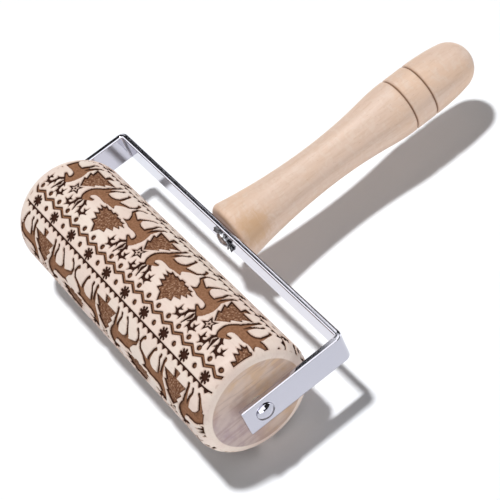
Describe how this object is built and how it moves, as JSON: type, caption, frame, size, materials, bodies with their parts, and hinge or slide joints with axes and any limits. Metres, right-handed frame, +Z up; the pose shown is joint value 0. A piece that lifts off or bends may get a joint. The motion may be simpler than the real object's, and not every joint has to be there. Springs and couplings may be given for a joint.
{
  "type": "embossing rolling pin",
  "caption": "Engraved wooden roller that spins in a U-shaped chromed strip with a turned wooden handle, for pressing a repeating relief pattern into dough or clay.",
  "frame": {"origin": "middle of the barrel's axis, halfway between the two arms", "axes": "+X along the barrel's axis towards the formed rivet head, +Y from the barrel to the handle's tip, +Z up when the tool lies flat"},
  "size_m": [0.1528, 0.1732, 0.045],
  "materials": {
    "barrel_wood": "sanded pale beech, laser engraved",
    "handle_wood": "sanded beech with two burnt grooves",
    "chrome_steel": "polished chrome plate",
    "zinc_steel": "bright zinc plate",
    "nylon": "natural nylon"
  },
  "bodies": {
    "frame": {"frame_bracket": "chrome_steel", "handle": "handle_wood", "handle_screw": "zinc_steel", "lock_washer": "zinc_steel", "washer_left": "zinc_steel", "washer_right": "zinc_steel", "axle_rod": "chrome_steel", "axle_rivet_cap": "chrome_steel"},
    "roller": {"roller_barrel": "barrel_wood", "bush_left": "nylon", "bush_right": "nylon"}
  },
  "joints": [
    {"name": "barrel_spin", "type": "hinge", "parent": "frame", "child": "roller", "pos_m": [0, 0, 0], "axis": [1, 0, 0], "continuous": true}
  ]
}
